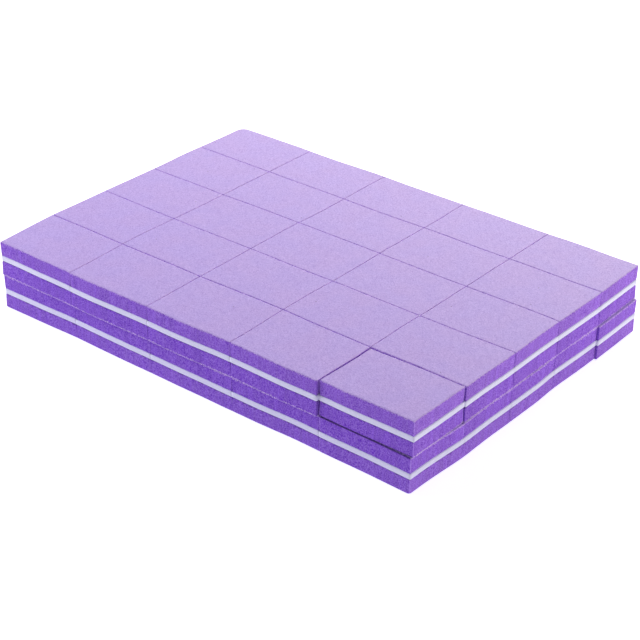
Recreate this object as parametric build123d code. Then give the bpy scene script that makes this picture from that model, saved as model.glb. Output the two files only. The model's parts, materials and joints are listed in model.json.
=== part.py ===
from build123d import *
import os
from dataclasses import dataclass
from functools import cache
from math import cos, radians, sin

# Mini nail buffer blocks: fifty loose blocks, stacked five by five in two layers.
# Millimetres. X runs along the columns a to e, Y along the rows 1 to 5, Z up.
# The origin is at the middle of the stack's outline, on the surface that it stands on.

# One block: a flexible core between two foam pads
block_length = 34.9
block_width = 24.9
pad_thickness = 5.4
core_thickness = 1.8

# Blocks at the edge of a sheet: in both layers the left column and the rear row fall short, and in the
# upper layer the front row and the right column are larger, but for the small block where they meet
edge_shortfall = 0.9
edge_allowance = 0.5
loose_trim = 0.3

# Edges of the foam
corner_ease = 0.3
rim_drop = 0.5
rim_roll = 0.3
rim_facets = 2
side_draw = 0.15

# How the blocks lie
columns = "abcde"
rows = "12345"
knife_gap = 0.1
front_row_pull = 0.3
loose_clearance = 0.3
loose_turn = 0.5
layer_slip_x = 0.5
layer_slip_y = 0.3
stray_slide = 0.8

block_height = 2 * pad_thickness + core_thickness
column_pitch = block_length + knife_gap
row_pitch = block_width + knife_gap


@dataclass
class Block:
    """A block as it lies: its size and middle in plan, the Z of its foot and its turn in degrees."""

    length: float
    width: float
    x: float
    y: float
    z: float
    turn: float = 0.0

    def reach(self):
        """Half of the room that the turned outline takes along X and along Y."""
        turn = radians(abs(self.turn))
        along_x = self.length * cos(turn) + self.width * sin(turn)
        along_y = self.length * sin(turn) + self.width * cos(turn)
        return along_x / 2, along_y / 2


def cut_block(column, row, z, allowance):
    """A block as cut from its sheet, larger by the allowance at the sheet's front and right edges."""
    left = edge_shortfall if column == columns[0] else 0
    right = allowance if column == columns[-1] else 0
    front = allowance if row == rows[0] else 0
    rear = edge_shortfall if row == rows[-1] else 0
    length = block_length - left + right
    width = block_width + front - rear
    x = columns.index(column) * column_pitch + (left + right) / 2
    y = rows.index(row) * row_pitch - (front + rear) / 2
    return Block(length, width, x, y, z)


def upper_layer():
    """The 25 loose blocks on top, by name. Row 1 is pulled forward, but for the small block at its end."""
    layer = {}
    for column in columns:
        for row in rows:
            layer[column + row] = cut_block(column, row, block_height, edge_allowance)
        layer[column + rows[0]].y -= front_row_pull
    layer[columns[-1] + rows[0]] = loose_block()
    return layer


def loose_block():
    """The small block at the front right corner, turned clockwise, clear of its two neighbours."""
    block = Block(block_length - loose_trim, block_width - loose_trim, 0, 0, block_height, -loose_turn)
    reach_x, reach_y = block.reach()
    left_neighbour = (len(columns) - 2) * column_pitch + block_length / 2
    rear_neighbour = row_pitch - block_width / 2
    block.x = left_neighbour + loose_clearance + reach_x
    block.y = rear_neighbour - loose_clearance - reach_y
    return block


def lower_layer():
    """The 25 blocks underneath, slipped to the front right, the rear right one drawn out further."""
    layer = {}
    for column in columns:
        for row in rows:
            block = cut_block(column, row, 0, 0)
            block.x += layer_slip_x
            block.y -= layer_slip_y
            layer[column + row] = block
    layer[columns[-1] + rows[-1]].x += stray_slide
    return layer


def centre(blocks):
    """Moves the blocks together, so that their outline in plan has its middle at the origin."""
    x_ends = [block.x + side * block.reach()[0] for block in blocks for side in (-1, 1)]
    y_ends = [block.y + side * block.reach()[1] for block in blocks for side in (-1, 1)]
    for block in blocks:
        block.x -= (min(x_ends) + max(x_ends)) / 2
        block.y -= (min(y_ends) + max(y_ends)) / 2


def eased_outline(length, width):
    """A cut outline, with its upright corners eased."""
    outline = Rectangle(length, width)
    return chamfer(outline.vertices(), corner_ease)


@cache
def foam_pad(length, width):
    """One pad, its bonded face at Z = 0 and its grit face up. The sides are drawn in at the bonded face
    and stand out to the full size at the shoulder. From there they roll over in flat facets."""
    outlines = [eased_outline(length - 2 * side_draw, width - 2 * side_draw)]
    for step in range(rim_facets + 1):
        angle = radians(90 * step / rim_facets)
        inset = rim_roll * (1 - cos(angle))
        height = pad_thickness - rim_drop * (1 - sin(angle))
        outlines.append(Pos(0, 0, height) * eased_outline(length - 2 * inset, width - 2 * inset))
    return loft(outlines, ruled=True)


@cache
def core_board(length, width):
    """The core, flush with the drawn-in feet of the pads, its lower face at Z = 0."""
    return extrude(eased_outline(length - 2 * side_draw, width - 2 * side_draw), core_thickness)


def place(block):
    """The block's seat in the stack."""
    return Pos(block.x, block.y, block.z) * Rot(0, 0, block.turn)


def top_pad(block):
    return place(block) * Pos(0, 0, pad_thickness + core_thickness) * foam_pad(block.length, block.width)


def core(block):
    return place(block) * Pos(0, 0, pad_thickness) * core_board(block.length, block.width)


def bottom_pad(block):
    return place(block) * Pos(0, 0, pad_thickness) * Rot(180, 0, 0) * foam_pad(block.length, block.width)


def write(name, pieces):
    """Writes one node, its pieces as separate solids."""
    solids = [solid for piece in pieces for solid in piece.solids()]
    export_step(solids[0] if len(solids) == 1 else Compound(solids), f"parts/{name}.step")


upper = upper_layer()
lower = lower_layer()
centre([*upper.values(), *lower.values()])

os.makedirs("parts", exist_ok=True)
for column in columns:
    under_column = [lower[column + row] for row in rows]
    pads = [pad(block) for block in under_column for pad in (top_pad, bottom_pad)]
    write(f"lower_column_{column}_pads", pads)
    write(f"lower_column_{column}_cores", [core(block) for block in under_column])
for name, block in upper.items():
    write(f"upper_{name}_pads", [top_pad(block), bottom_pad(block)])
    write(f"upper_{name}_core", [core(block)])
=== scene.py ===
"""Mini nail buffer blocks, fifty loose ones in two layers, dressed for rendering.

Each block is a white core board between two violet foam pads, and each pad wears a lilac coat of grit
on its outer face. The foam is sawn after it is coated, so its sides are bare and show the saw's marks,
and the coat ends in a ragged edge where it laps over the rim.

Everything is in metres, in the frame of the packed model, which gives the place and size of each pad.
"""

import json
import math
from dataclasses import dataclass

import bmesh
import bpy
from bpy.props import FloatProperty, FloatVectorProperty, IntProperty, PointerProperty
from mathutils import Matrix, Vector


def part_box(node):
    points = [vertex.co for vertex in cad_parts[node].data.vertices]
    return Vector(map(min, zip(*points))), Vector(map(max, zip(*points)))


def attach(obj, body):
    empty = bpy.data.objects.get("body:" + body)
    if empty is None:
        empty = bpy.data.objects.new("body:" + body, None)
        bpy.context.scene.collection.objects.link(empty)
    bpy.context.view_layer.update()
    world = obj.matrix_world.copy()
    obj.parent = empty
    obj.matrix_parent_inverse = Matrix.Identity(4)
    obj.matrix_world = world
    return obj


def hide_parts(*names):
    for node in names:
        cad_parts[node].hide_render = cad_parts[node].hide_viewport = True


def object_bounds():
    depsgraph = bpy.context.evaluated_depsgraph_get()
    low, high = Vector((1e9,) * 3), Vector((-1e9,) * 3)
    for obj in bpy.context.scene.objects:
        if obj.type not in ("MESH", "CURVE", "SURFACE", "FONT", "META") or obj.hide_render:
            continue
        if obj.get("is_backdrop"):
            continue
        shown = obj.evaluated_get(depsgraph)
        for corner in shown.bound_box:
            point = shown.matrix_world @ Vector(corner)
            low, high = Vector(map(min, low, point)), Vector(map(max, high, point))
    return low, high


bl_info = {
    "name": "Nail buffer blocks",
    "version": (1, 0, 0),
    "blender": (4, 5, 0),
    "location": "View3D > Sidebar > Buffer blocks",
    "description": "Builds the foam pads, core boards and stage of a stack of mini nail buffer blocks",
    "category": "Object",
}

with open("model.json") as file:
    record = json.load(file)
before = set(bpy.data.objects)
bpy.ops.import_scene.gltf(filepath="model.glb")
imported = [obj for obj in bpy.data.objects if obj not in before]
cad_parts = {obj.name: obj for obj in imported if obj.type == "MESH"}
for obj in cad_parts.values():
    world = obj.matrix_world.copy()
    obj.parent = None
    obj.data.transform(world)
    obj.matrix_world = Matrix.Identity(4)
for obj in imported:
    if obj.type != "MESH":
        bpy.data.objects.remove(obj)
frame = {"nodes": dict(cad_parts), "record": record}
BODIES = frame["record"]["behaviour"]["bodies"]
CAD_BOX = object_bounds()

MM = 0.001
BLOCK_HEIGHT = (CAD_BOX[1].z - CAD_BOX[0].z) / 2
# Each layer was cut from its own sheet, and this seeds the stray of its cuts
SHEETS = {"upper": 20.0, "lower": 60.0}
# Steps of the seed from node to node, and from solid to solid in a node
PAD_SEED_STEPS = (31.0, 7.3)
BOARD_SEED_STEPS = (17.0, 3.7)
# The column at whose left side the push on each layer's front row has died out, and a block of that row
SQUEEZE_ENDS = {"upper": "upper_e1_pads", "lower": "lower_column_d_pads"}
FRONT_ROW_BLOCK = "d1"
LOOSE_BLOCK = "e1"
# The node whose front block has its near corner pulled in, under the loose block
PULLED_COLUMN = "lower_column_e"
# The block whose rear left corner is worn at the top
WORN_NODE = "upper_a5_pads"
# Within this of a place counts as there, and a side this near to the outline of the stack as on it
SLACK = 0.1 * MM
OUTLINE_SLACK = 3 * MM
# Points this close are one
SAME_POINT = 1e-6
# Attributes that the pads carry for their material: the first three are distances in millimetres
COAT = "coat"
CORNER = "corner"
# Height above the foot, for the painted shadow under the core
FOOT = "foot"
CRUMB = "crumb"
# Painted shade on the bare foam: darker deep in the crack under the loose block, and rising along each
# side that faces right
PAINTED_SHADE = "dye"
DEPTH = "depth"
ALONG = "along"
# Further than any of these distances that the material looks at
FAR = 9.0
WHITE = (1.0, 1.0, 1.0)
# The floor reaches this far, and lies this much under the stack, in metres
FLOOR_REACH = 3.0
FLOOR_DROP = 0.02 * MM


# Sizes and colours that a user would change


def length(name, description, millimetres, **limits):
    return FloatProperty(
        name=name, description=description, default=millimetres * MM, unit="LENGTH", **limits)


def amount(name, description, value, **limits):
    """A plain number, such as a share, a ratio or a strength."""
    return FloatProperty(name=name, description=description, default=value, **limits)


def fraction(name, description, value):
    return amount(name, description, value, min=0, max=1)


def angle(name, description, degrees):
    return FloatProperty(
        name=name, description=description, default=math.radians(degrees), subtype="ANGLE")


def offset(name, description, *metres):
    return FloatVectorProperty(
        name=name, description=description, default=metres, size=3, subtype="TRANSLATION")


def paint(name, description, *value):
    return FloatVectorProperty(
        name=name, description=description, default=value, size=3, min=0, max=1, subtype="COLOR")


class SheetProperties(bpy.types.PropertyGroup):
    """How the saws strayed as they cut a sheet into blocks. Both sides of a cut stray together."""

    wander: length("Saw wander", "Range over which a cut strays from straight", 1.8)
    wander_size: length("Wander size", "Length of one stray of a cut", 32)
    squeeze: length("Squeeze", "How far the left end of a front row is pushed to the right", 1.5)
    stretch: length("Stretch", "How much wider the upper front row was cut than its seats", 0.4)
    core_shift: length(
        "Core shift", "Range over which the core's height differs from block to block", 0.4)
    swell: length(
        "Swell", "How far the sides that face left and right swell into the knife's gap", 0.046)
    row_swell: length("Row swell", "The same for the sides that face front and rear", 0.02)
    corner_pull: offset(
        "Corner pull", "How far the near corner under the loose block was cut off its place",
        -0.7 * MM, -0.25 * MM, 0.0)


class FoamProperties(bpy.types.PropertyGroup):
    """How the pads are cut and what their bare sides look like."""

    mesh_step: length("Mesh step", "Mean spacing of the points along a pad's sides", 0.6, min=0.2 * MM)
    height_levels: IntProperty(
        name="Height levels", description="Rings of points from the foot of a pad to its rim",
        default=15, min=6)
    corner_radius: length("Corner radius", "Rounding of a pad's upright corners", 0.05)
    rim_roll: length("Rim roll", "How far the rim rolls in from the side, in plan", 0.1)
    top_rim_roll: length("Top rim roll", "The same at the rims that face up on top of the stack", 0.31)
    top_roll_share: fraction(
        "Top roll at the columns", "Share of that roll at the sides that face left and right", 0.7)
    rim_drop: amount(
        "Rim drop", "Height over which the rim rolls in, for each unit of the roll", 1.65, min=0.1)
    side_draw: length("Side draw", "How far the sides are drawn in at the glued foot", 0.1)
    tear_depth: length("Tear depth", "Depth of the ragged groove where the foam meets the core", 0.45)
    tear_height: length("Tear height", "Height over which the groove runs out", 0.5)
    loose_skew: angle(
        "Skew of the loose block", "How far its front and rear were cut out of square", 1.2)
    loose_shrink: length(
        "Shrink of the loose block", "How far its sides that face left and right stay back", 0.07)
    loose_roll: length(
        "Loose rim roll", "How far the rim under the loose block rolls in at its front", 0.75)
    under_roll: length("Rim roll under the loose block", "The same for the rim that it rests on", 0.3)
    crack_drop: amount(
        "Crack drop", "Height of both of these rims, for each unit of their roll", 0.48, min=0.1)
    crack_share: fraction(
        "Roll at the right", "Share of these rolls at the right side, where the crack closes", 0.15)
    crack_bare: length("Bare crack", "How far the coat stays back from the crack", 0.8)
    # Painted shade deep in the crack
    crack_shade: fraction("Crack shade", "How much darker the foam is deep in the crack", 0.65)
    foot_rim_roll: length("Foot rim roll", "How far the rims that the stack stands on roll in", 0.45)
    foot_corner_wear: length("Foot corner wear", "Rounding of the near corner of the foot", 1.0)
    corner_wear: length("Corner wear", "Rounding of the worn corners, at their rim", 2.8)
    wear_height: length("Wear height", "How far down from the rim a worn corner runs out", 2.5)
    chatter: length("Chatter", "Depth of the saw's upright marks", 0.035)
    chatter_size: length("Chatter size", "Spacing of the saw's upright marks in the mesh", 1.8)
    colour: paint("Foam colour", "Bare foam on a cut side", 0.385, 0.178, 0.702)
    # Painted shade: pads towards the middle of the stack are darker and bluer
    deep_colour: paint(
        "Deep foam colour", "Bare foam towards the middle of the stack", 0.323, 0.131, 0.690)
    # Painted shade: the sides that face front and rear are darker than those that face left and right
    painted_along_shade: paint(
        "Tint along the sheet", "Tint of the sides that were cut along the sheet's length",
        0.87, 0.835, 0.955)
    sweep: amount("Sweep", "How much the shade of a side that faces right rises along its block", 0.05)
    speck_colour: paint("Foam speckle", "Added and taken away in specks on bare foam", 0.42, 0.30, 0.39)
    # Wear and a painted highlight along the upright corners at the near corner
    wear_and_highlight_colour: paint("Bruised foam colour", "Foam at a rubbed corner", 0.50, 0.26, 0.87)


class GritProperties(bpy.types.PropertyGroup):
    """The grit coat on the outer face of each pad."""

    lap: length("Lap", "How far the coat laps over the rim of a pad", 0.14)
    top_lap: length("Top lap", "The same on the topmost pads", 0.1)
    foot_lap: length("Foot lap", "The same on the pads that the stack stands on", -0.5)
    relief: length("Relief", "Depth of the coat's unevenness", 0.06)
    relief_size: length("Relief size", "Length of one swell of the coat", 1.5)
    crumb_density: amount(
        "Crumbs", "Grit crumbs for each square millimetre along the edge of the coat", 8.0, min=0)
    crumb_size: length("Crumb size", "Radius of the largest crumbs", 0.21)
    top_crumb_size: length("Top crumb size", "The same on the topmost pads", 0.14)
    colour: paint("Grit colour", "Lilac coat of grit", 0.503, 0.353, 0.762)
    warm_colour: paint("Warm grit colour", "Where the coat leans to pink", 0.52, 0.353, 0.742)
    speck_colour: paint("Grit speckle", "Added and taken away in specks on the coat", 0.63, 0.56, 0.56)
    crumb_colour: paint("Crumb colour", "Loose crumbs of grit", 0.95, 0.70, 1.0)
    stray_colour: paint("Stray grain colour", "Rare dark grains in the coat", 0.16, 0.10, 0.24)


class CoreProperties(bpy.types.PropertyGroup):
    """The white board between the pads."""

    proud: length("Stands proud", "How far the board stands out of its seat, almost to the next", 0.185)
    edge_ease: length("Edge ease", "Rounding of the board's long edges", 0.1)
    ripple: length("Ripple", "How far the board's cut edge ripples", 0.05)
    colour: paint("Core colour", "Cut edge of the core board", 0.92, 0.885, 1.0)


class StageProperties(bpy.types.PropertyGroup):
    """The camera, seen from the middle of the top face, and the lamps, from the middle of the stack."""

    azimuth: angle("Azimuth", "Direction of view about Z, 0 looking along +Y", 38.837)
    elevation: angle("Elevation", "Height of the camera above the horizon", 29.786)
    roll: angle("Roll", "Turn of the camera about its line of sight", 0.682)
    lens: amount("Focal length", "On a sensor 36 mm wide, in millimetres", 97.356)
    camera_place: offset("Camera place", "From the middle of the top face", 0.32294, -0.39815, 0.26689)
    sky: amount("Sky light", "Strength of the even light from all round", 0.322)
    key: amount("Key light", "Power of the low lamp behind, in watts", 6.95)
    key_colour: paint("Key colour", "Warm light of the lamp behind", 1.0, 1.0, 0.85)
    key_place: offset("Key place", "From the middle of the stack", -0.20, 0.66, 0.19)
    key_width: length("Key width", "Side of the lamp behind", 300)
    side: amount("Side light", "Power of the lamp on the right, in watts", 1.12)
    side_colour: paint("Side colour", "Light of the lamp on the right", *WHITE)
    side_place: offset("Side place", "From the middle of the stack", 0.60, 0.25, 0.20)
    side_width: length("Side width", "Side of the lamp on the right", 140)
    fill: amount("Fill light", "Power of the lamp on the left, in watts", 2.15)
    fill_place: offset("Fill place", "From the middle of the stack", -0.48, -0.28, 0.36)
    fill_width: length("Fill width", "Side of the lamp on the left", 300)
    shade_colour: paint("Shade colour", "Light of the sky, the fill and the floor", 0.80, 0.82, 1.0)
    floor_colour: paint("Floor colour", "Pale floor", 0.8, 0.8, 0.8)
    floor_lift: amount(
        "Floor lift", "Light that the floor adds for the camera, so that it reads as white", 0.72)
    floor_fade: FloatVectorProperty(
        name="Floor fade", description="Distances between which the floor turns as white as the sky",
        size=2, default=(0.35, 1.0), unit="LENGTH")
    floor_glow: amount("Floor glow", "Light that the floor adds to the foot of the stack", 0.376)


# Node trees


def reckoned(operation, swapped=False):
    """A method of Output that does one step of arithmetic with another value."""
    def method(self, other):
        return self.graph.math(operation, *((other, self) if swapped else (self, other)))
    return method


class Output:
    """An output of a node. Arithmetic with it adds the nodes that do it."""

    def __init__(self, graph, socket):
        self.graph = graph
        self.socket = socket

    def __abs__(self):
        return self.graph.math("ABSOLUTE", self)

    __add__ = reckoned("ADD")
    __radd__ = reckoned("ADD", swapped=True)
    __sub__ = reckoned("SUBTRACT")
    __rsub__ = reckoned("SUBTRACT", swapped=True)
    __mul__ = reckoned("MULTIPLY")
    __truediv__ = reckoned("DIVIDE")
    __rtruediv__ = reckoned("DIVIDE", swapped=True)
    __pow__ = reckoned("POWER")
    __lt__ = reckoned("LESS_THAN")
    __gt__ = reckoned("GREATER_THAN")


class Graph:
    """Adds nodes to a node tree and joins them up, so that a rule reads in the order of its steps."""

    def __init__(self, tree):
        self.tree = tree

    def feed(self, socket, value):
        """Links an output to a socket, or sets the socket to a value."""
        if isinstance(value, Output):
            self.tree.links.new(value.socket, socket)
        else:
            socket.default_value = value

    def feed_all(self, node, inputs):
        for key, value in inputs.items():
            self.feed(node.inputs[key], value)

    def node(self, kind, inputs=None, **settings):
        made = self.tree.nodes.new(kind)
        for name, value in settings.items():
            setattr(made, name, value)
        self.feed_all(made, inputs or {})
        return made

    def outs(self, kind, inputs=None, **settings):
        """A new node's outputs, by name."""
        made = self.node(kind, inputs, **settings)
        return {socket.name: Output(self, socket) for socket in made.outputs if socket.name}

    def out(self, kind, inputs=None, place=0, **settings):
        """One of a new node's outputs, the first if not said otherwise."""
        return Output(self, self.node(kind, inputs, **settings).outputs[place])

    def geo(self, kind, inputs=None, **settings):
        """The first output of a new geometry node."""
        return self.out("GeometryNode" + kind, inputs, **settings)

    def math(self, operation, *values, clamp=False):
        return self.out("ShaderNodeMath", dict(enumerate(values)), operation=operation, use_clamp=clamp)

    def most(self, first, second):
        return self.math("MAXIMUM", first, second)

    def least(self, first, second):
        return self.math("MINIMUM", first, second)

    def vector(self, operation, *values):
        return self.out("ShaderNodeVectorMath", dict(enumerate(values)), operation=operation)

    def distance(self, vector):
        return self.outs("ShaderNodeVectorMath", {0: vector}, operation="LENGTH")["Value"]

    def scaled(self, vector, factor):
        return self.out("ShaderNodeVectorMath", {0: vector, "Scale": factor}, operation="SCALE")

    def split(self, vector):
        return [Output(self, part) for part in self.node("ShaderNodeSeparateXYZ", {0: vector}).outputs]

    def joined(self, x, y, z):
        return self.out("ShaderNodeCombineXYZ", {0: x, 1: y, 2: z})

    def noise(self, vector, size, detail, seed):
        """A noise from 0 to 1 whose features are about size long."""
        scale = self.math("DIVIDE", 1.0, size)
        return self.out(
            "ShaderNodeTexNoise", {"Vector": vector, "W": seed, "Scale": scale, "Detail": detail},
            noise_dimensions="4D")

    def ramp(self, value, low, high, to_low=0.0, to_high=1.0, smooth=True):
        return self.out(
            "ShaderNodeMapRange",
            {"Value": value, "From Min": low, "From Max": high, "To Min": to_low, "To Max": to_high},
            interpolation_type="SMOOTHSTEP" if smooth else "LINEAR")

    def blend(self, factor, first, second):
        """A mix of two colours."""
        return self.out("ShaderNodeMix", {0: factor, 6: first, 7: second}, place=2, data_type="RGBA")

    def position(self):
        return self.geo("InputPosition")

    def normal(self):
        return self.geo("InputNormal")

    def moved(self, geometry, inputs):
        return self.geo("SetPosition", {"Geometry": geometry, **inputs})

    def together(self, *pieces):
        """Several geometries as one."""
        made = self.node("GeometryNodeJoinGeometry")
        for piece in pieces:
            self.feed(made.inputs[0], piece)
        return Output(self, made.outputs[0])

    def shaded(self, geometry, smooth):
        return self.geo("SetShadeSmooth", {"Geometry": geometry, "Shade Smooth": smooth})

    def stored(self, geometry, values):
        """A geometry with numbers stored on its points, by name."""
        for name, value in values.items():
            geometry = self.geo(
                "StoreNamedAttribute", {"Geometry": geometry, "Name": name, "Value": value},
                data_type="FLOAT", domain="POINT")
        return geometry


def number(default=0.0):
    return "NodeSocketFloat", default


def numbers(settings, *names):
    """Number sockets that have the names and the values of settings."""
    return {name: number(getattr(settings, name.lower().replace(" ", "_"))) for name in names}


VECTOR = ("NodeSocketVector", (0.0, 0.0, 0.0))
GEOMETRY = ("NodeSocketGeometry", None)


def new_tree(name, kind, inputs, outputs):
    """A node group with named sockets, as (graph, its inputs by name, its output node)."""
    tree = bpy.data.node_groups.new(name, kind)
    for side, sockets in (("INPUT", inputs), ("OUTPUT", outputs)):
        for socket, (socket_type, default) in sockets.items():
            made = tree.interface.new_socket(socket, in_out=side, socket_type=socket_type)
            if default is not None:
                made.default_value = default
    graph = Graph(tree)
    return graph, graph.outs("NodeGroupInput"), graph.node("NodeGroupOutput")


# The foam pad


def rounded_plan(graph, unit, half_x, half_y, radius):
    """Moves a point of the unit square to a rectangle with rounded corners, crowded at its sides."""
    x, y = (graph.math("SINE", value * (math.pi / 2)) for value in graph.split(unit)[:2])
    along = abs(x) * half_x
    across = abs(y) * half_y
    past_x = along - (half_x - radius)
    past_y = across - (half_y - radius)
    in_corner = graph.least(past_x, past_y) > 0.0
    reach = graph.distance(graph.joined(past_x, past_y, 0.0))
    never_zero = 1e-9
    pull = graph.most(past_x, past_y) / graph.most(reach, never_zero)
    # 1 outside the corners, and the pull towards the arc in them
    share = 1.0 + in_corner * (pull - 1.0)
    moved_x = along - past_x * (1.0 - share)
    moved_y = across - past_y * (1.0 - share)
    return moved_x * graph.math("SIGN", x), moved_y * graph.math("SIGN", y)


def strays_of(graph, ins):
    """How far a point in its seat is off its place in a perfect stack, along X, Y and Z."""
    x, y, z = graph.split(graph.position())
    strays = []
    for seed_step in (0.0, 5.0):
        stray = graph.noise(graph.joined(x, y, 0.0), ins["Wander Size"], 1.0, ins["Sheet"] + seed_step)
        strays.append((stray - 0.5) * ins["Wander"])
    # The front row is pushed to the right, most at its front and at its left end
    from_left = graph.ramp(x, ins["Squeeze From"], ins["Squeeze To"], 1.0, 0.0, smooth=False)
    from_rear = graph.ramp(y, ins["Row Front"], ins["Row Rear"], 1.0, 0.0, smooth=False)
    strays[0] += ins["Squeeze"] * (from_left * from_rear)
    # It was cut wider, half of it to the front and half to the rear
    in_front_row = y < ins["Row Rear"] + SLACK
    strays[1] += ins["Stretch"] * (0.5 - from_rear) * in_front_row
    # A block cut out of square leans along Y, more at its rear than at its front
    seat_x, seat_y, _ = graph.split(ins["Seat"])
    half_width = ins["Width"] * 0.5
    lean_at_front = 0.35
    lean = graph.ramp(
        y, seat_y - half_width, seat_y + half_width, lean_at_front, 1.0, smooth=False)
    strays[1] += lean * (ins["Skew"] * (x - seat_x))
    # The near corner of a block, pulled off its place
    to_right = 0.5 + (x - seat_x) / ins["Length"]
    to_front = 0.5 - (y - seat_y) / ins["Width"]
    pull = graph.split(graph.scaled(ins["Corner Pull"], to_right * to_front))
    strays = [stray + axis_pull for stray, axis_pull in zip(strays, pull)]
    # The core's height differs from block to block, and the pads take it up
    under_a_block, seed_step = 17 * MM, 9.0
    shift = graph.noise(
        graph.joined(seat_x, seat_y, 0.0), under_a_block, 0.0, ins["Sheet"] + seed_step)
    off_core = abs(z - ins["Block Middle"]) / (BLOCK_HEIGHT / 2)
    share = graph.math("SUBTRACT", 1.0, off_core, clamp=True)
    return *strays, (shift - 0.5) * ins["Core Shift"] * share


def seated(graph, ins, made, into):
    """Puts a part in its seat, strays it with its sheet, joins it to what came before and paints it."""
    placed = graph.geo(
        "Transform", {"Geometry": made, "Translation": ins["Seat"], "Rotation": ins["Turn"]})
    strayed = graph.moved(placed, {"Offset": graph.joined(*strays_of(graph, ins))})
    real = graph.geo("RealizeInstances", {0: graph.together(ins["Geometry"], strayed)})
    painted = graph.geo("SetMaterial", {"Geometry": real, "Material": ins["Material"]})
    graph.feed(into.inputs[0], painted)


def seat_sockets(sheet):
    """The inputs that both trees have. The plain numbers are set for each pad or board."""
    plain = (
        "Length", "Width", "Thickness", "Block Middle", "Sheet", "Seed", "Stretch", "Squeeze From",
        "Squeeze To", "Row Front", "Row Rear", "Skew")
    return {
        "Geometry": GEOMETRY,
        "Seat": VECTOR,
        "Turn": ("NodeSocketRotation", None),
        "Material": ("NodeSocketMaterial", None),
        "Corner Pull": VECTOR,
        **numbers(sheet, "Wander", "Wander Size", "Core Shift", "Squeeze"),
        **{name: number() for name in plain},
    }


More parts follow.
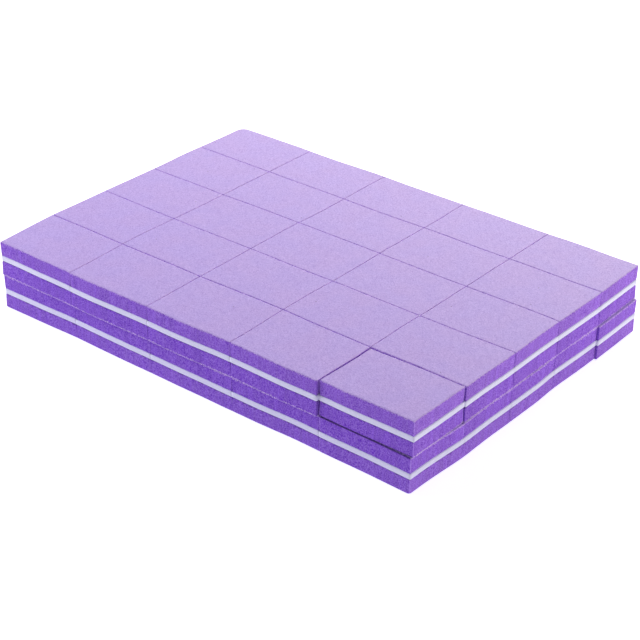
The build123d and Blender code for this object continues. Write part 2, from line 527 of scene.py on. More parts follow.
def pad_tree(sheet, foam, grit):
    """Geometry Nodes that add one foam pad to what is there, foot at Z = 0 until seated."""
    plain = ("Bare Ends", "Crack Shade", "Whole Foot", "Depth", "Sweep")
    graph, ins, into = new_tree("Foam pad", "GeometryNodeTree", seat_sockets(sheet) | {
        "Levels": ("NodeSocketInt", foam.height_levels),
        "Worn Corner": VECTOR,
        "Roll Across": number(1.0),
        "Whole Corners": number(FAR),
        "Crumb Density": number(grit.crumb_density / MM**2),
        **numbers(
            foam, "Mesh Step", "Corner Radius", "Corner Wear", "Wear Height", "Rim Roll", "Rim Drop",
            "Side Draw", "Tear Depth", "Tear Height", "Chatter", "Chatter Size"),
        **numbers(sheet, "Swell", "Row Swell"),
        **numbers(grit, "Lap", "Relief", "Relief Size", "Crumb Size"),
        **{name: number() for name in plain},
    }, {"Geometry": GEOMETRY})
    thickness, seed = ins["Thickness"], ins["Seed"]

    # A block of points, without the inside of its foot
    count_x, count_y = (
        graph.math("CEIL", ins[side] / ins["Mesh Step"]) + 1.0 for side in ("Length", "Width"))
    open_pad = graph.geo("MeshCube", {
        "Size": (2.0, 2.0, 2.0), "Vertices X": count_x, "Vertices Y": count_y,
        "Vertices Z": ins["Levels"]})
    facing_down = graph.split(graph.normal())[2] < -0.5
    open_pad = graph.geo(
        "DeleteGeometry", {"Geometry": open_pad, "Selection": facing_down},
        domain="FACE", mode="ONLY_FACE")
    alone = graph.outs("GeometryNodeInputMeshVertexNeighbors")["Face Count"] < 0.5
    open_pad = graph.geo(
        "DeleteGeometry", {"Geometry": open_pad, "Selection": alone}, domain="POINT", mode="ALL")

    # The pad's form: levels close together at foot and rim, sides drawn in at the foot, rim rolled in
    unit = graph.position()
    level = (1.0 - graph.split(unit)[2]) * (math.pi / 2)
    height = thickness * ((graph.math("COSINE", level) + 1.0) * 0.5)
    rim_drop = ins["Rim Drop"] * ins["Rim Roll"]
    shoulder = thickness - rim_drop
    draw = ins["Side Draw"] * graph.ramp(height, 0.0, shoulder, 1.0, 0.0, smooth=False)
    over = graph.math("DIVIDE", height - shoulder, rim_drop, clamp=True)
    bow = graph.math("SQRT", graph.most(1.0 - over ** 2.0, 0.0))
    roll = ins["Rim Roll"] * (1.0 - bow)
    half_x = ins["Length"] * 0.5 + ins["Swell"] - (draw + roll * ins["Roll Across"])
    half_y = ins["Width"] * 0.5 + ins["Row Swell"] - (draw + roll)
    wear = graph.ramp(height, thickness - ins["Wear Height"], thickness)
    worn_x, worn_y = (
        one * other > 0.0
        for one, other in zip(graph.split(unit)[:2], graph.split(ins["Worn Corner"])[:2]))
    radius = ins["Corner Radius"] + wear ** 2.0 * (worn_x * worn_y) * ins["Corner Wear"]
    plan = rounded_plan(graph, unit, half_x, half_y, radius)
    formed = graph.moved(open_pad, {"Position": graph.joined(*plan, height)})

    # What the material needs to know of each point
    here = graph.position()
    x, y, z = graph.split(here)
    side_x = ins["Length"] * 0.5 - abs(x)
    side_y = ins["Width"] * 0.5 - abs(y)
    facing_across = side_x < side_y
    # 1 on the sides that face front and rear, 0 on those that face left and right
    along = 1.0 - facing_across
    inward = graph.most(graph.least(side_x, side_y), 0.0)
    above_lap = z - (thickness - ins["Lap"]) - ins["Bare Ends"] * along
    # A painted shade that rises along each side that faces right, and painted shade deep in the crack
    swept = 1.0 + facing_across * (ins["Sweep"] * (y / ins["Width"]) * 2.0)
    light_share = 0.4
    darkest = thickness - rim_drop * light_share
    in_crack = along * graph.ramp(z, thickness - rim_drop, darkest, 0.0, ins["Crack Shade"])
    marked = graph.stored(formed, {
        COAT: (above_lap + inward) * (1 / MM),
        CORNER: graph.most(side_x, side_y) * (1 / MM) + ins["Whole Corners"],
        FOOT: z * (1 / MM) + ins["Whole Foot"],
        CRUMB: 0.0,
        PAINTED_SHADE: swept * (1.0 - in_crack),
        DEPTH: ins["Depth"],
        ALONG: along,
    })

    # The saw's marks on the sides, the swell of the coat and the torn foot, all inward
    mark_tilt = 0.08
    tear_size = 0.9 * MM
    upright = graph.joined(x, y, z * mark_tilt)
    marks = ins["Chatter"] * graph.noise(upright, ins["Chatter Size"], 1.0, seed)
    swells = ins["Relief"] * graph.noise(here, ins["Relief Size"], 2.0, seed)
    tear_and_shadow = ins["Tear Depth"] * graph.noise(upright, tear_size, 3.0, seed)
    facing = graph.normal()
    facing_up = graph.most(graph.split(facing)[2], 0.0)
    inwards = marks * (1.0 - facing_up) + swells * facing_up + (
        graph.ramp(z, 0.0, ins["Tear Height"], 1.0, 0.0) * tear_and_shadow)
    shift_x, shift_y, shift_z = graph.split(graph.scaled(facing, inwards * -1.0))
    sawn = graph.moved(marked, {"Offset": graph.joined(shift_x, shift_y, shift_z * (z > SAME_POINT))})

    # The foot is closed with a flat fan: its rim drawn in to the middle, and the points there made one
    rim = graph.geo("InputMeshEdgeNeighbors") < 1.5
    fan = graph.outs(
        "GeometryNodeExtrudeMesh", {"Mesh": sawn, "Selection": rim, "Offset Scale": 0.0}, mode="EDGES")
    middle = graph.joined(0.0, 0.0, 0.0)
    closed = graph.moved(fan["Mesh"], {"Selection": fan["Top"], "Position": middle})
    closed = graph.geo("MergeByDistance", {
        "Geometry": closed, "Selection": fan["Top"], "Distance": SAME_POINT})
    smooth = graph.shaded(closed, True)

    # Crumbs of grit along the ragged edge of the coat
    place_seed, size_seed, turn_seed = 11, 3, 5
    coat = graph.geo("InputNamedAttribute", {"Name": COAT}, data_type="FLOAT")
    edge_middle, edge_reach, steep = 0.1, 0.4, 0.6
    near_edge = abs(coat - edge_middle) < edge_reach
    upright_face = graph.split(graph.normal())[2] < steep
    spots = graph.outs("GeometryNodeDistributePointsOnFaces", {
        "Mesh": smooth, "Selection": near_edge * upright_face, "Density": ins["Crumb Density"],
        "Seed": place_seed}, distribute_method="RANDOM")["Points"]
    grain = graph.geo("MeshUVSphere", {"Segments": 4, "Rings": 2, "Radius": 1.0})
    smallest, any_turn = 0.35, (math.tau, math.tau, math.tau)
    size = graph.out(
        "FunctionNodeRandomValue", {2: smallest, 3: 1.0, "Seed": size_seed}, place=1,
        data_type="FLOAT")
    turn = graph.out(
        "FunctionNodeRandomValue", {1: any_turn, "Seed": turn_seed}, data_type="FLOAT_VECTOR")
    crumbs = graph.geo("InstanceOnPoints", {
        "Points": spots, "Instance": grain, "Rotation": turn, "Scale": size * ins["Crumb Size"]})
    crumbs = graph.shaded(graph.geo("RealizeInstances", {0: crumbs}), False)
    crumbs = graph.stored(crumbs, {
        COAT: 1.0, CORNER: FAR, FOOT: FAR, CRUMB: 1.0, PAINTED_SHADE: 1.0, DEPTH: 0.0, ALONG: 0.0})
    seated(graph, ins, graph.together(crumbs, smooth), into)
    return graph.tree


# The core board


def board_tree(sheet, foam, core):
    """Geometry Nodes that add one core board to what is there, foot at Z = 0 until seated."""
    graph, ins, into = new_tree("Core board", "GeometryNodeTree", seat_sockets(sheet) | {
        **numbers(foam, "Mesh Step", "Corner Radius"),
        **numbers(core, "Edge Ease", "Proud", "Ripple"),
    }, {"Geometry": GEOMETRY})
    thickness, ease = ins["Thickness"], ins["Edge Ease"]
    size_x, size_y = (ins[side] + ins["Proud"] * 2.0 for side in ("Length", "Width"))
    outline = graph.geo("CurvePrimitiveQuadrilateral", {"Width": size_x, "Height": size_y})
    outline = graph.geo("FilletCurve", {
        "Curve": outline, "Radius": ins["Corner Radius"], "Count": 4, "Limit Radius": True},
        mode="POLY")
    outline = graph.geo("ResampleCurve", {"Curve": outline, "Length": ins["Mesh Step"]}, mode="LENGTH")
    foot = graph.geo("FillCurve", {"Curve": outline}, mode="NGONS")
    half_middle = (thickness - ease * 2.0) * 0.5
    top = foot
    for rise in (ease, half_middle, half_middle, ease):
        top = graph.outs("GeometryNodeExtrudeMesh", {
            "Mesh": top, "Offset Scale": 1.0, "Offset": graph.joined(0.0, 0.0, rise),
            "Individual": False}, mode="FACES")["Mesh"]
    closed = graph.together(graph.geo("FlipFaces", {0: foot}), top)
    closed = graph.geo("MergeByDistance", {"Geometry": closed, "Distance": SAME_POINT})

    # The long edges are eased and the sides ripple
    x, y, z = graph.split(graph.position())
    ripple_tilt, ripple_size, squareness = 0.3, 2.5 * MM, 51.0
    eased = ease * graph.ramp(graph.least(z, thickness - z), 0.0, ease, 1.0, 0.0)
    upright = graph.joined(x, y, z * ripple_tilt)
    ripple = ins["Ripple"] * (graph.noise(upright, ripple_size, 2.0, ins["Seed"]) - 0.5)
    outward = graph.vector("NORMALIZE", graph.joined(
        (x / size_x) ** squareness, (y / size_y) ** squareness, 0.0))
    worn = graph.moved(closed, {"Offset": graph.scaled(outward, ripple - eased)})
    seated(graph, ins, graph.shaded(worn, True), into)
    return graph.tree


# Shared effects


def cached_group(build):
    """Builds a shader group once and hands the same one to every material."""
    def get():
        name = build.__doc__.split(":")[0]
        return bpy.data.node_groups.get(name) or build(name)
    return get


def effect_tree(name, outputs, **inputs):
    """A shader group that reads Object coordinates, as new_tree gives it."""
    sockets = {"Vector": VECTOR} | {socket: number(default) for socket, default in inputs.items()}
    return new_tree(name, "ShaderNodeTree", sockets, {socket: number() for socket in outputs})


@cached_group
def fine_grain(name):
    """Fine grain: a sandy speckle, as a shade about 0.5 and as a height."""
    graph, ins, into = effect_tree(name, ("Shade", "Height"), Size=0.3 * MM, Seed=0.0)
    coarseness, coarse_share = 2.6, 0.15
    fine = graph.noise(ins["Vector"], ins["Size"], 2.0, ins["Seed"])
    coarse = graph.noise(ins["Vector"], ins["Size"] * coarseness, 2.0, ins["Seed"])
    shade = fine * (1 - coarse_share) + coarse * coarse_share
    graph.feed_all(into, {"Shade": shade, "Height": fine})
    return graph.tree


@cached_group
def saw_marks(name):
    """Saw marks: upright streaks that a saw leaves in foam, as a shade about 0.5 and as a height."""
    graph, ins, into = effect_tree(
        name, ("Shade", "Height"), Spacing=0.5 * MM, Stretch=14.0, Seed=0.0)
    x, y, z = graph.split(ins["Vector"])
    upright = graph.joined(x, y, z / ins["Stretch"])
    wideness, wide_share = 4.0, 0.4
    narrow = graph.noise(upright, ins["Spacing"], 2.0, ins["Seed"])
    wide = graph.noise(upright, ins["Spacing"] * wideness, 1.0, ins["Seed"])
    shade = narrow * (1 - wide_share) + wide * wide_share
    graph.feed_all(into, {"Shade": shade, "Height": narrow})
    return graph.tree


@cached_group
def ragged_edge(name):
    """Ragged edge: a mask that goes from 0 to 1 across Distance 0, in bays and spurs."""
    graph, ins, into = effect_tree(
        name, ("Mask",), Distance=0.0, Reach=0.3, Softness=0.1, Size=0.7 * MM, Seed=0.0)
    bays = graph.noise(ins["Vector"], ins["Size"], 3.0, ins["Seed"]) - 0.5
    distance = ins["Distance"] + bays * (ins["Reach"] * 2.0)
    graph.feed_all(into, {"Mask": graph.ramp(distance, ins["Softness"] * -1.0, ins["Softness"])})
    return graph.tree


@cached_group
def colour_drift(name):
    """Colour drift: slow clouds from 0 to 1, by which one colour leans to another."""
    graph, ins, into = effect_tree(name, ("Factor",), Size=9 * MM, Seed=0.0)
    clouds = graph.noise(ins["Vector"], ins["Size"], 3.0, ins["Seed"])
    clear, full = 0.3, 0.7
    graph.feed_all(into, {"Factor": graph.ramp(clouds, clear, full)})
    return graph.tree


@cached_group
def stray_grains(name):
    """Stray grains: a mask of rare round grains, one to each square of the spacing."""
    graph, ins, into = effect_tree(name, ("Mask",), Spacing=35 * MM, Size=0.25 * MM)
    cells = graph.outs("ShaderNodeTexVoronoi", {
        "Vector": ins["Vector"], "Scale": 1.0 / ins["Spacing"]}, voronoi_dimensions="2D")
    distance = cells["Distance"] * ins["Spacing"]
    full_share = 0.6
    full_size = ins["Size"] * full_share
    graph.feed_all(into, {"Mask": graph.ramp(distance, full_size, ins["Size"], 1.0, 0.0)})
    return graph.tree


# Materials


def new_material(name):
    """A material as (material, graph, its Principled BSDF, its Object coordinates)."""
    material = bpy.data.materials.new(name)
    material.use_nodes = True
    graph = Graph(material.node_tree)
    place = graph.outs("ShaderNodeTexCoord")["Object"]
    return material, graph, material.node_tree.nodes["Principled BSDF"], place


def effect(graph, group, place, **inputs):
    """Places a shared effect with its own values, whose names here are in small letters."""
    named = {name.title(): value for name, value in inputs.items()}
    return graph.outs("ShaderNodeGroup", {"Vector": place} | named, node_tree=group())


def attribute(graph, name):
    return graph.outs("ShaderNodeAttribute", attribute_name=name)["Fac"]


def speckled(graph, base, speck, shade, strength):
    """A colour with a speck colour added and taken away by a shade about 0.5."""
    return graph.vector("MULTIPLY_ADD", speck, (shade - 0.5) * strength, base)


def rgba(colour):
    return (*colour, 1.0)


def pad_material(foam, grit):
    """Violet foam, sawn at its sides, under a lilac coat of grit with a ragged edge."""
    material, graph, shader, place = new_material("Grit-coated foam")
    coat, corner, foot, crumb, dye, depth, along = (
        attribute(graph, name) for name in (COAT, CORNER, FOOT, CRUMB, PAINTED_SHADE, DEPTH, ALONG))
    cells = effect(graph, fine_grain, place, size=0.4 * MM, seed=1.0)
    sawn = effect(graph, saw_marks, place, spacing=0.55 * MM, seed=2.0)
    sand = effect(graph, fine_grain, place, size=0.34 * MM, seed=3.0)
    drift = effect(graph, colour_drift, place, size=9 * MM, seed=4.0)["Factor"]

    # Bare foam, deeper towards the middle of the stack, pale along the upright corners as wear and a
    # painted highlight
    wear_and_highlight_reach, wear_and_highlight_share, under_core_shadow_reach, under_core_shadow = 0.28, 0.95, 0.3, 0.6
    wear_and_highlight = effect(
        graph, ragged_edge, place, seed=5.0, reach=0.15, softness=0.15,
        distance=wear_and_highlight_reach - corner)["Mask"]
    # Painted shadow in a ragged band at the foot of the pads under the core, where the proud core
    # overhangs them
    tear_and_shadow = effect(
        graph, ragged_edge, place, seed=9.0, reach=0.9, softness=0.2, size=1.1 * MM,
        distance=under_core_shadow_reach - foot)["Mask"]
    # Painted shade: darker and bluer towards the middle of the stack
    bare = graph.blend(depth, rgba(foam.colour), rgba(foam.deep_colour))
    # Painted shade on the sides that face front and rear
    painted_side_shade = graph.blend(along, rgba(WHITE), rgba(foam.painted_along_shade))
    bare = graph.vector("MULTIPLY", bare, painted_side_shade)
    bare = graph.blend(wear_and_highlight * wear_and_highlight_share, bare, rgba(foam.wear_and_highlight_colour))
    bare = speckled(graph, bare, foam.colour, sawn["Shade"], strength=0.6)
    bare = speckled(graph, bare, foam.speck_colour, cells["Shade"], strength=2.1)
    # The painted shadow under the core, the painted shade in the crack and the shade along the sides
    # darken the bare foam
    bare = graph.scaled(bare, graph.ramp(tear_and_shadow, 0.0, 1.0, 1.0, under_core_shadow) * dye)

    # Grit coat, paler where it thins out at its edge, with crumbs and stray grains
    thin_from, thin_to, thin_share, stray_share = 0.1, 0.45, 0.5, 0.8
    coated = graph.blend(drift, rgba(grit.colour), rgba(grit.warm_colour))
    coated = speckled(graph, coated, grit.speck_colour, sand["Shade"], strength=1.1)
    pale = graph.most(graph.ramp(coat, thin_from, thin_to, thin_share, 0.0), crumb)
    coated = graph.blend(pale, coated, rgba(grit.crumb_colour))
    stray = effect(graph, stray_grains, place)["Mask"]
    coated = graph.blend(stray * stray_share, coated, rgba(grit.stray_colour))

    mask = effect(
        graph, ragged_edge, place, seed=6.0, reach=0.5, softness=0.3, size=0.7 * MM,
        distance=coat)["Mask"]
    sawn_share, cells_share = 0.5, 0.7
    bare_height = sawn["Height"] * sawn_share + cells["Height"] * cells_share
    height = graph.out(
        "ShaderNodeMix", {0: mask, 2: bare_height, 3: sand["Height"]}, data_type="FLOAT")
    graph.feed_all(shader, {
        "Base Color": graph.blend(mask, bare, coated),
        "Normal": graph.out(
            "ShaderNodeBump", {"Strength": 0.7, "Distance": 0.08 * MM, "Height": height}),
        "Roughness": graph.ramp(mask, 0.0, 1.0, 0.95, 0.8),
        "Specular IOR Level": 0.3,
        "Sheen Weight": graph.ramp(mask, 0.0, 1.0, 0.05, 0.25),
        "Sheen Roughness": 0.5,
    })
    return material


def board_material(core):
    """Cut edge of the white board, with faint saw marks."""
    material, graph, shader, place = new_material("Core board")
    sawn = effect(graph, saw_marks, place, spacing=0.4 * MM, seed=7.0)
    cells = effect(graph, fine_grain, place, size=0.3 * MM, seed=8.0)
    edge = speckled(graph, core.colour, core.colour, sawn["Shade"], strength=0.12)
    edge = speckled(graph, edge, core.colour, cells["Shade"], strength=0.10)
    graph.feed_all(shader, {
        "Base Color": edge,
        "Normal": graph.out(
            "ShaderNodeBump", {"Strength": 0.4, "Distance": 0.05 * MM, "Height": sawn["Height"]}),
        "Roughness": graph.ramp(cells["Shade"], 0.3, 0.7, 0.6, 0.75),
        "Specular IOR Level": 0.25,
    })
    return material


# Seats, read from the packed model


@dataclass
class Seat:
    """Where a solid of a CAD node lies: the middle of its lower end, its sizes and its turn about Z."""

    middle: Vector
    length: float
    width: float
    thickness: float
    turn: float


def separate_solids(node):
    """The faces of each separate solid of a CAD node, from a copy whose points are merged."""
    shape = bmesh.new()
    shape.from_mesh(frame["nodes"][node].data)
    bmesh.ops.remove_doubles(shape, verts=shape.verts, dist=SAME_POINT)
    left = set(shape.faces)
    while left:
        reached = [left.pop()]
        solid = []
        while reached:
            face = reached.pop()
            solid.append(face)
            near = {other for edge in face.edges for other in edge.link_faces} & left
            left -= near
            reached.extend(near)
        yield solid
    shape.free()


def seat_of(solid):
    """The seat of a solid with four upright sides."""
    sides = [face for face in solid if abs(face.normal.z) < 0.5]
    widest = max(sides, key=lambda face: face.calc_area())
    turn = math.atan2(widest.normal.y, widest.normal.x)
    turn -= round(turn / (math.pi / 2)) * math.pi / 2
    straighten = Matrix.Rotation(-turn, 3, "Z")
    points = [straighten @ vert.co for face in solid for vert in face.verts]
    low = Vector(min(point[axis] for point in points) for axis in range(3))
    high = Vector(max(point[axis] for point in points) for axis in range(3))
    middle = (low + high) / 2
    middle.z = low.z
    size = high - low
    return Seat(straighten.inverted() @ middle, size.x, size.y, size.z, turn)


def seats(node):
    """The seats of a CAD node's solids, in a steady order."""
    found = [seat_of(solid) for solid in separate_solids(node)]
    return sorted(found, key=lambda seat: tuple(round(value, 4) for value in seat.middle))


def block_middle(node):
    """The height of the middle of the blocks that a node belongs to."""
    low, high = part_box(node)
    return (low.z + high.z) / 2


def at_near_corner(seat):
    """Whether a pad is at the front right corner of the stack, whose upright edges are rubbed pale."""
    past_right = seat.middle.x + seat.length / 2 - CAD_BOX[1].x
    past_front = CAD_BOX[0].y - seat.middle.y + seat.width / 2
    return min(past_right, past_front) > -OUTLINE_SLACK


def is_loose(node):
    return node.startswith(f"upper_{LOOSE_BLOCK}")


def under_loose(node, seat):
    """Whether a pad or board is in the lower block that the loose block rests on."""
    return (
        node.startswith(PULLED_COLUMN)
        and seat.middle.y - seat.width / 2 < CAD_BOX[0].y + OUTLINE_SLACK)


# Pieces


def run_tree(tree, calls, name):
    """Runs a geometry tree once for each set of inputs, each adding to the last, to a plain mesh."""
    holder = bpy.data.objects.new(name, bpy.data.meshes.new(name + "_start"))
    bpy.context.scene.collection.objects.link(holder)
    identifiers = {
        item.name: item.identifier for item in tree.interface.items_tree
        if item.item_type == "SOCKET" and item.in_out == "INPUT"}
    for inputs in calls:
        modifier = holder.modifiers.new(tree.name, "NODES")
        modifier.node_group = tree
        for socket, value in inputs.items():
            modifier[identifiers[socket]] = value
    depsgraph = bpy.context.evaluated_depsgraph_get()
    mesh = bpy.data.meshes.new_from_object(
        holder.evaluated_get(depsgraph), preserve_all_data_layers=True, depsgraph=depsgraph)
    start = holder.data
    bpy.data.objects.remove(holder)
    bpy.data.meshes.remove(start)
    mesh.name = name
    return mesh


def add_piece(name, mesh, body, node):
    """Adds a finished mesh as a piece that rides on a body in place of a CAD node."""
    piece = bpy.data.objects.new(name, mesh)
    bpy.context.scene.collection.objects.link(piece)
    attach(piece, body)
    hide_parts(node)
    return piece


def shared_inputs(node, seat, material, seed):
    """The tree inputs that pads and boards have in common."""
    scene = bpy.context.scene
    layer = node.split("_")[0]
    row_low, row_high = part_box(f"upper_{FRONT_ROW_BLOCK}_pads")
    inputs = {
        "Seat": seat.middle.copy(),
        "Turn": (0.0, 0.0, seat.turn),
        "Material": material,
        "Length": seat.length,
        "Width": seat.width,
        "Thickness": seat.thickness,
        "Block Middle": block_middle(node),
        "Sheet": SHEETS[layer],
        "Seed": seed,
        "Squeeze From": CAD_BOX[0].x,
        "Squeeze To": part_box(SQUEEZE_ENDS[layer])[0].x,
        "Row Front": row_low.y,
        "Row Rear": row_high.y,
    }
    if is_loose(node):
        inputs["Skew"] = scene.buffer_foam.loose_skew
    elif layer == "upper":
        inputs["Stretch"] = scene.buffer_sheet.stretch
    if under_loose(node, seat):
        inputs["Corner Pull"] = Vector(scene.buffer_sheet.corner_pull)
    return inputs


def crack_inputs(foam, roll, share):
    """The tree inputs of a pad whose rim opens the crack under the loose block."""
    return {
        "Rim Roll": roll,
        "Rim Drop": foam.crack_drop,
        "Roll Across": share,
        "Bare Ends": foam.crack_bare,
        "Crack Shade": foam.crack_shade,
    }


def pad_calls(node, material, foam, grit, seed):
    """The tree inputs of each pad of a node. The lower pads are turned over, foot up."""
    for place_in_node, seat in enumerate(seats(node)):
        inputs = shared_inputs(node, seat, material, seed + PAD_SEED_STEPS[1] * place_in_node)
        on_floor = seat.middle.z < SLACK
        # How near a pad lies to the middle of the stack, for its painted shade
        off_middle = abs(seat.middle.z + seat.thickness / 2 - BLOCK_HEIGHT) / BLOCK_HEIGHT
        inputs |= {"Depth": 1.0 - off_middle, "Sweep": foam.sweep, "Whole Foot": FAR}
        if is_loose(node):
            inputs["Swell"] = -foam.loose_shrink
        if seat.middle.z < block_middle(node) - seat.thickness / 2:
            inputs["Seat"].z += seat.thickness
            # Only the pads under a core get the painted shadow at their foot
            inputs |= {"Turn": (math.pi, 0.0, seat.turn), "Sweep": -foam.sweep, "Whole Foot": 0.0}
            if is_loose(node):
                inputs |= crack_inputs(foam, foam.loose_roll, foam.crack_share)
            if on_floor:
                inputs |= {"Rim Roll": foam.foot_rim_roll, "Lap": grit.foot_lap, "Sweep": 0.0}
        elif seat.middle.z + seat.thickness > CAD_BOX[1].z - SLACK:
            inputs |= {
                "Lap": grit.top_lap,
                "Crumb Size": grit.top_crumb_size,
                "Rim Roll": foam.top_rim_roll,
                "Roll Across": foam.top_roll_share,
            }
            if node == WORN_NODE:
                inputs["Worn Corner"] = (-1.0, 1.0, 0.0)
        elif under_loose(node, seat):
            inputs |= crack_inputs(foam, foam.under_roll, 2 * foam.crack_share)
        # The near corner's upright edges get the pale wear and painted highlight
        if at_near_corner(seat):
            inputs["Whole Corners"] = 0.0
            if on_floor:
                inputs |= {"Worn Corner": (1.0, 1.0, 0.0), "Corner Wear": foam.foot_corner_wear}
        yield inputs


def board_calls(node, material, sheet, seed):
    """The tree inputs of each core board of a node. Boards that lie in a row meet, as the pads do."""
    for place_in_node, seat in enumerate(seats(node)):
        inputs = shared_inputs(node, seat, material, seed + BOARD_SEED_STEPS[1] * place_in_node)
        if not is_loose(node):
            inputs["Length"] += 2 * sheet.swell
        yield inputs


def nodes_of(layer, kind):
    """The CAD nodes of a layer that hold pads or cores, as (body, node)."""
    return [
        (body, node) for body, nodes in BODIES.items() for node in nodes
        if node.startswith(layer) and node.rsplit("_", 1)[1].startswith(kind)]


def build_pads(scene, layer):
    sheet, foam, grit = scene.buffer_sheet, scene.buffer_foam, scene.buffer_grit
    tree = bpy.data.node_groups.get("Foam pad") or pad_tree(sheet, foam, grit)
    material = bpy.data.materials.get("Grit-coated foam") or pad_material(foam, grit)
    for order, (body, node) in enumerate(nodes_of(layer, "pads")):
        seed = SHEETS[layer] + PAD_SEED_STEPS[0] * order
        mesh = run_tree(tree, pad_calls(node, material, foam, grit, seed), node)
        piece = add_piece(node.replace("pads", "foam_pads"), mesh, body, node)


def build_cores(scene, layer):
    sheet, foam, core = scene.buffer_sheet, scene.buffer_foam, scene.buffer_core
    tree = bpy.data.node_groups.get("Core board") or board_tree(sheet, foam, core)
    material = bpy.data.materials.get("Core board") or board_material(core)
    for order, (body, node) in enumerate(nodes_of(layer, "core")):
        seed = SHEETS[layer] + BOARD_SEED_STEPS[0] * order
        mesh = run_tree(tree, board_calls(node, material, sheet, seed), node)
        add_piece(node + "_board", mesh, body, node)


# Stage


def seen_directly(graph):
    """1 for rays that show the background to the camera, straight, mirrored or through glass."""
    rays = graph.outs("ShaderNodeLightPath")
    return graph.most(
        graph.most(rays["Is Camera Ray"], rays["Is Glossy Ray"]), rays["Is Transmission Ray"])


def glow(graph, colour, strength, seen_strength):
    """The colour and strength of a background's light: coloured for the object, white to the camera."""
    seen = seen_directly(graph)
    return (
        graph.blend(seen, rgba(colour), rgba(WHITE)),
        graph.ramp(seen, 0.0, 1.0, strength, seen_strength, smooth=False))


def add_floor(stage):
    """A pale floor that takes the shadow and reads as white to the camera."""
    mesh = bpy.data.meshes.new("floor")
    corners = ((-1, -1), (1, -1), (1, 1), (-1, 1))
    mesh.from_pydata(
        [(x * FLOOR_REACH, y * FLOOR_REACH, -FLOOR_DROP) for x, y in corners], [], [(0, 1, 2, 3)])
    floor = bpy.data.objects.new("floor", mesh)
    bpy.context.scene.collection.objects.link(floor)
    material, graph, shader, place = new_material("Pale floor")
    lift = graph.ramp(graph.distance(place), *stage.floor_fade, stage.floor_lift, 1.0)
    colour, strength = glow(graph, stage.shade_colour, stage.floor_glow, lift)
    graph.feed_all(shader, {
        "Base Color": rgba(stage.floor_colour),
        "Roughness": 0.9,
        "Specular IOR Level": 0.0,
        "Emission Color": colour,
        "Emission Strength": strength,
    })
    mesh.materials.append(material)
    floor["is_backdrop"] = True


def add_sky(scene, stage):
    """White to the camera, and an even light on the object."""
    world = bpy.data.worlds.new("Studio")
    world.use_nodes = True
    graph = Graph(world.node_tree)
    colour, strength = glow(graph, stage.shade_colour, stage.sky, 1.0)
    graph.feed_all(world.node_tree.nodes["Background"], {"Color": colour, "Strength": strength})
    scene.world = world


def add_lamp(name, place, aim, width, power, colour):
    lamp = bpy.data.lights.new(name, "AREA")
    lamp.shape = "SQUARE"
    lamp.size = width
    lamp.energy = power
    lamp.color = colour
    shown = bpy.data.objects.new(name, lamp)
    shown.location = place
    shown.visible_camera = False
    shown.rotation_euler = (aim - place).to_track_quat("-Z", "Y").to_euler()
    bpy.context.scene.collection.objects.link(shown)


def add_lamps(stage):
    """Three soft lamps: the key low behind, one on the right and the cool fill on the left."""
    middle = (CAD_BOX[0] + CAD_BOX[1]) / 2
    for name, colour in (
            ("key", stage.key_colour), ("side", stage.side_colour), ("fill", stage.shade_colour)):
        place, width = (getattr(stage, f"{name}_{setting}") for setting in ("place", "width"))
        add_lamp(name, middle + Vector(place), middle, width, getattr(stage, name), colour)


def add_camera(scene, stage):
    """The camera, placed from the middle of the upper layer's middle block."""
    low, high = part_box("upper_c3_pads")
    top_middle = Vector(((low.x + high.x) / 2, (low.y + high.y) / 2, high.z))
    camera = bpy.data.objects.new("camera", bpy.data.cameras.new("camera"))
    camera.data.lens = stage.lens
    camera.data.clip_start = 0.01
    azimuth = Matrix.Rotation(stage.azimuth, 4, "Z")
    turn = azimuth @ Matrix.Rotation(math.pi / 2 - stage.elevation, 4, "X")
    turn = turn @ Matrix.Rotation(stage.roll, 4, "Z")
    camera.matrix_world = Matrix.Translation(top_middle + Vector(stage.camera_place)) @ turn
    scene.collection.objects.link(camera)
    scene.camera = camera


# Operators


class BUFFER_OT_upper_pads(bpy.types.Operator):
    """Build the foam pads of the upper layer, two on each loose block"""

    bl_idname = "buffer.upper_pads"
    bl_label = "Upper foam pads"

    def execute(self, context):
        build_pads(context.scene, "upper")
        return {"FINISHED"}


class BUFFER_OT_upper_cores(bpy.types.Operator):
    """Build the core boards of the upper layer"""

    bl_idname = "buffer.upper_cores"
    bl_label = "Upper core boards"

    def execute(self, context):
        build_cores(context.scene, "upper")
        return {"FINISHED"}


class BUFFER_OT_lower_pads(bpy.types.Operator):
    """Build the foam pads of the lower layer, column by column"""

    bl_idname = "buffer.lower_pads"
    bl_label = "Lower foam pads"

    def execute(self, context):
        build_pads(context.scene, "lower")
        return {"FINISHED"}


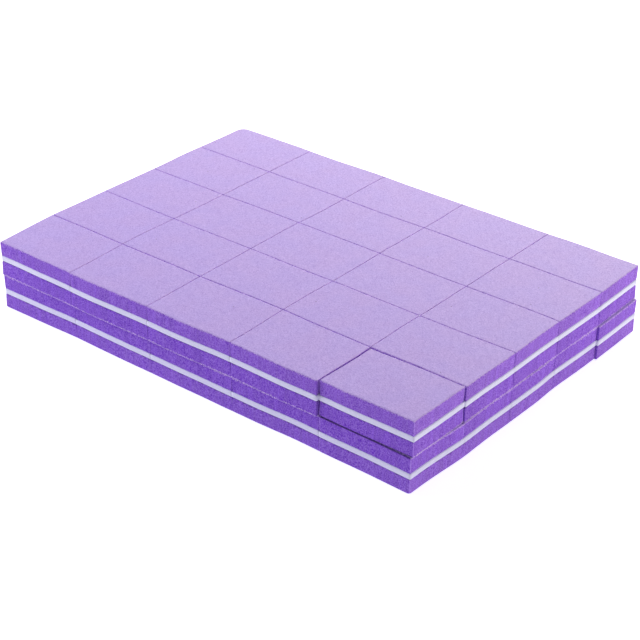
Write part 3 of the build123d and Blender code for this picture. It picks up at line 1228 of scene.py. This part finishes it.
class BUFFER_OT_lower_cores(bpy.types.Operator):
    """Build the core boards of the lower layer, column by column"""

    bl_idname = "buffer.lower_cores"
    bl_label = "Lower core boards"

    def execute(self, context):
        build_cores(context.scene, "lower")
        return {"FINISHED"}


class BUFFER_OT_stage(bpy.types.Operator):
    """Set up the floor, the light and the camera"""

    bl_idname = "buffer.stage"
    bl_label = "Stage"

    def execute(self, context):
        stage = context.scene.buffer_stage
        add_floor(stage)
        add_sky(context.scene, stage)
        add_lamps(stage)
        add_camera(context.scene, stage)
        context.scene.view_settings.view_transform = "Standard"
        return {"FINISHED"}


# Panel and registration


BUILD_ORDER = (
    BUFFER_OT_lower_cores, BUFFER_OT_lower_pads, BUFFER_OT_upper_cores, BUFFER_OT_upper_pads,
    BUFFER_OT_stage)


class BUFFER_PT_panel(bpy.types.Panel):
    """Lists the steps that build the stack"""

    bl_idname = "BUFFER_PT_panel"
    bl_label = "Buffer blocks"
    bl_space_type = "VIEW_3D"
    bl_region_type = "UI"
    bl_category = "Buffer blocks"

    def draw(self, context):
        for operator in BUILD_ORDER:
            self.layout.operator(operator.bl_idname)


SETTINGS = {
    "buffer_sheet": SheetProperties,
    "buffer_foam": FoamProperties,
    "buffer_grit": GritProperties,
    "buffer_core": CoreProperties,
    "buffer_stage": StageProperties,
}
CLASSES = (*SETTINGS.values(), *BUILD_ORDER, BUFFER_PT_panel)


def register():
    for cls in CLASSES:
        bpy.utils.register_class(cls)
    for name, cls in SETTINGS.items():
        setattr(bpy.types.Scene, name, PointerProperty(type=cls))


def unregister():
    for name in SETTINGS:
        delattr(bpy.types.Scene, name)
    for cls in reversed(CLASSES):
        bpy.utils.unregister_class(cls)


def main():
    register()
    bpy.ops.buffer.lower_cores()
    bpy.ops.buffer.lower_pads()
    bpy.ops.buffer.upper_cores()
    bpy.ops.buffer.upper_pads()
    bpy.ops.buffer.stage()
    boxes = {"cad": CAD_BOX, "visual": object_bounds()}
    {name: [list(corner) for corner in box] for name, box in boxes.items()}


if __name__ == "__main__":
    main()
